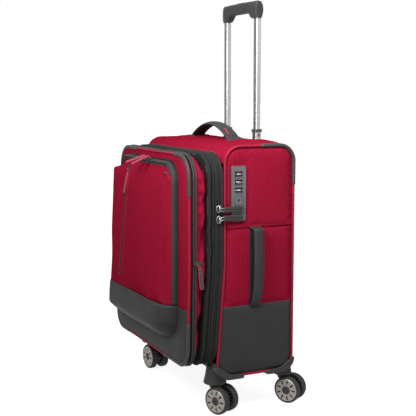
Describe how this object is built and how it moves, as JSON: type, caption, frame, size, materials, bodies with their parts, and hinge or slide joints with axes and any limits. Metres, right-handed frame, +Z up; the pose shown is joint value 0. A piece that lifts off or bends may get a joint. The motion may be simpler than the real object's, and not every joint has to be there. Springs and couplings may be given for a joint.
{
  "type": "softside upright suitcase",
  "caption": "Softside upright cabin suitcase with a zipped lid, bulging front pocket, combination lock, strap handles, trolley handle and twin-wheel casters.",
  "frame": {"origin": "on the floor under the middle of the overall box", "axes": "+Z up, -Y to the front with the pockets, +X to the side with the lock"},
  "size_m": [0.4292, 0.3234, 0.8215],
  "materials": {
    "red_fabric": "matte",
    "charcoal_trim": "satin",
    "charcoal_fabric": "matte",
    "dark_plastic": "satin",
    "grip_plastic": "satin",
    "lock_plastic": "satin",
    "aluminium": "satin",
    "tyre_rubber": "matte",
    "pull_red": "satin"
  },
  "bodies": {
    "case": {"back_panel": "red_fabric", "side_panel_right": "red_fabric", "side_panel_left": "red_fabric", "top_panel": "red_fabric", "bottom_panel": "charcoal_trim", "side_band_right": "charcoal_trim", "side_band_left": "charcoal_trim", "side_piping_right": "red_fabric", "side_piping_left": "red_fabric", "case_zip_tape": "charcoal_fabric", "side_handle": "charcoal_trim", "top_handle": "charcoal_trim", "lock_plate": "lock_plastic", "handle_bezel": "dark_plastic", "outer_tube_right": "aluminium", "outer_tube_left": "aluminium", "corner_guard_fr": "dark_plastic", "corner_guard_fl": "dark_plastic", "corner_guard_rr": "dark_plastic", "corner_guard_rl": "dark_plastic"},
    "lid": {"lid_tray": "charcoal_fabric", "front_gusset": "red_fabric"},
    "front_cover": {"front_zip_tape": "charcoal_fabric", "front_panel": "red_fabric", "front_band": "charcoal_trim", "front_piping": "charcoal_trim", "pocket_flap": "charcoal_trim", "pocket_body": "red_fabric", "pocket_band": "charcoal_trim"},
    "middle_stage": {"middle_tube_right": "aluminium", "middle_tube_left": "aluminium", "collar_right": "dark_plastic", "collar_left": "dark_plastic"},
    "grip_stage": {"inner_tube_right": "aluminium", "inner_tube_left": "aluminium", "grip": "grip_plastic"},
    "grip_button": {"grip_button": "dark_plastic"},
    "lock_button": {"lock_button": "lock_plastic"},
    "lock_dial_1": {"lock_dial_1": "dark_plastic"},
    "lock_dial_2": {"lock_dial_2": "dark_plastic"},
    "lock_dial_3": {"lock_dial_3": "dark_plastic"},
    "main_pull_upper": {"main_pull_upper": "dark_plastic"},
    "main_pull_lower": {"main_pull_lower": "dark_plastic"},
    "compartment_pull": {"compartment_pull": "pull_red"},
    "pocket_pull_left": {"pocket_pull_left": "pull_red"},
    "pocket_pull_right": {"pocket_pull_right": "pull_red"},
    "face_pull": {"face_pull": "pull_red"},
    "fork_fr": {"fork_fr": "dark_plastic"},
    "wheel_fr_near": {"wheel_fr_near": "tyre_rubber"},
    "wheel_fr_far": {"wheel_fr_far": "tyre_rubber"},
    "fork_fl": {"fork_fl": "dark_plastic"},
    "wheel_fl_near": {"wheel_fl_near": "tyre_rubber"},
    "wheel_fl_far": {"wheel_fl_far": "tyre_rubber"},
    "fork_rr": {"fork_rr": "dark_plastic"},
    "wheel_rr_near": {"wheel_rr_near": "tyre_rubber"},
    "wheel_rr_far": {"wheel_rr_far": "tyre_rubber"},
    "fork_rl": {"fork_rl": "dark_plastic"},
    "wheel_rl_near": {"wheel_rl_near": "tyre_rubber"},
    "wheel_rl_far": {"wheel_rl_far": "tyre_rubber"}
  },
  "joints": [
    {"name": "lid_hinge", "type": "hinge", "parent": "case", "child": "lid", "pos_m": [-0.2104, -0.04503, 0.073], "axis": [0, 0, 1], "range_deg": [-150, 0]},
    {"name": "front_cover_fold", "type": "hinge", "parent": "lid", "child": "front_cover", "pos_m": [-0.0104, -0.09253, 0.099], "axis": [1, 0, 0], "range_deg": [0, 17]},
    {"name": "middle_stage_slide", "type": "slide", "parent": "case", "child": "middle_stage", "axis": [0, 0, 1], "range_m": [-0.0175, 0.2]},
    {"name": "grip_stage_slide", "type": "slide", "parent": "middle_stage", "child": "grip_stage", "axis": [0, 0, 1], "range_m": [-0.225, 0]},
    {"name": "grip_button_press", "type": "slide", "parent": "grip_stage", "child": "grip_button", "axis": [0, 0, 1], "range_m": [-0.0025, 0], "stiffness_N_per_m": 900, "springref_m": 0.0008},
    {"name": "lock_button_press", "type": "slide", "parent": "case", "child": "lock_button", "axis": [1, 0, 0], "range_m": [-0.002, 0], "stiffness_N_per_m": 900, "springref_m": 0.0008},
    {"name": "lock_dial_1_turn", "type": "hinge", "parent": "case", "child": "lock_dial_1", "pos_m": [0.1886, -0.00303, 0.477], "axis": [0, 0, 1], "continuous": true},
    {"name": "lock_dial_2_turn", "type": "hinge", "parent": "case", "child": "lock_dial_2", "pos_m": [0.1886, -0.00303, 0.4615], "axis": [0, 0, 1], "continuous": true},
    {"name": "lock_dial_3_turn", "type": "hinge", "parent": "case", "child": "lock_dial_3", "pos_m": [0.1886, -0.00303, 0.446], "axis": [0, 0, 1], "continuous": true},
    {"name": "main_pull_upper_swing", "type": "hinge", "parent": "case", "child": "main_pull_upper", "pos_m": [0.1974, -0.03803, 0.4095], "axis": [0, 0, 1], "range_deg": [-100, 0]},
    {"name": "main_pull_lower_swing", "type": "hinge", "parent": "case", "child": "main_pull_lower", "pos_m": [0.1974, -0.03803, 0.393], "axis": [0, 0, 1], "range_deg": [-100, 0]},
    {"name": "compartment_zip_slide", "type": "slide", "parent": "lid", "child": "compartment_pull", "axis": [0, 0, 1], "range_m": [0, 0.155]},
    {"name": "pocket_zip_slide_left", "type": "slide", "parent": "front_cover", "child": "pocket_pull_left", "axis": [-1, 0, 0], "range_m": [0, 0.09]},
    {"name": "pocket_zip_slide_right", "type": "slide", "parent": "front_cover", "child": "pocket_pull_right", "axis": [1, 0, 0], "range_m": [0, 0.05]},
    {"name": "face_zip_slide", "type": "slide", "parent": "front_cover", "child": "face_pull", "axis": [-0.0623, -0.0602, -0.9962], "range_m": [0, 0.195]},
    {"name": "swivel_fr", "type": "hinge", "parent": "case", "child": "fork_fr", "pos_m": [0.1581, -0.03563, 0.058], "axis": [0, 0, 1], "continuous": true},
    {"name": "wheel_fr_near_spin", "type": "hinge", "parent": "fork_fr", "child": "wheel_fr_near", "pos_m": [0.17454, -0.02831, 0.0275], "axis": [-0.4067, 0.9135, 0], "continuous": true},
    {"name": "wheel_fr_far_spin", "type": "hinge", "parent": "fork_fr", "child": "wheel_fr_far", "pos_m": [0.17454, -0.02831, 0.0275], "axis": [-0.4067, 0.9135, 0], "continuous": true},
    {"name": "swivel_fl", "type": "hinge", "parent": "case", "child": "fork_fl", "pos_m": [-0.1789, -0.03563, 0.058], "axis": [0, 0, 1], "continuous": true},
    {"name": "wheel_fl_near_spin", "type": "hinge", "parent": "fork_fl", "child": "wheel_fl_near", "pos_m": [-0.16097, -0.03406, 0.0275], "axis": [-0.0872, 0.9962, 0], "continuous": true},
    {"name": "wheel_fl_far_spin", "type": "hinge", "parent": "fork_fl", "child": "wheel_fl_far", "pos_m": [-0.16097, -0.03406, 0.0275], "axis": [-0.0872, 0.9962, 0], "continuous": true},
    {"name": "swivel_rr", "type": "hinge", "parent": "case", "child": "fork_rr", "pos_m": [0.1581, 0.12047, 0.058], "axis": [0, 0, 1], "continuous": true},
    {"name": "wheel_rr_near_spin", "type": "hinge", "parent": "fork_rr", "child": "wheel_rr_near", "pos_m": [0.1732, 0.13027, 0.0275], "axis": [-0.5446, 0.8387, 0], "continuous": true},
    {"name": "wheel_rr_far_spin", "type": "hinge", "parent": "fork_rr", "child": "wheel_rr_far", "pos_m": [0.1732, 0.13027, 0.0275], "axis": [-0.5446, 0.8387, 0], "continuous": true},
    {"name": "swivel_rl", "type": "hinge", "parent": "case", "child": "fork_rl", "pos_m": [-0.1789, 0.12047, 0.058], "axis": [0, 0, 1], "continuous": true},
    {"name": "wheel_rl_near_spin", "type": "hinge", "parent": "fork_rl", "child": "wheel_rl_near", "pos_m": [-0.16151, 0.12513, 0.0275], "axis": [-0.2588, 0.9659, 0], "continuous": true},
    {"name": "wheel_rl_far_spin", "type": "hinge", "parent": "fork_rl", "child": "wheel_rl_far", "pos_m": [-0.16151, 0.12513, 0.0275], "axis": [-0.2588, 0.9659, 0], "continuous": true}
  ]
}
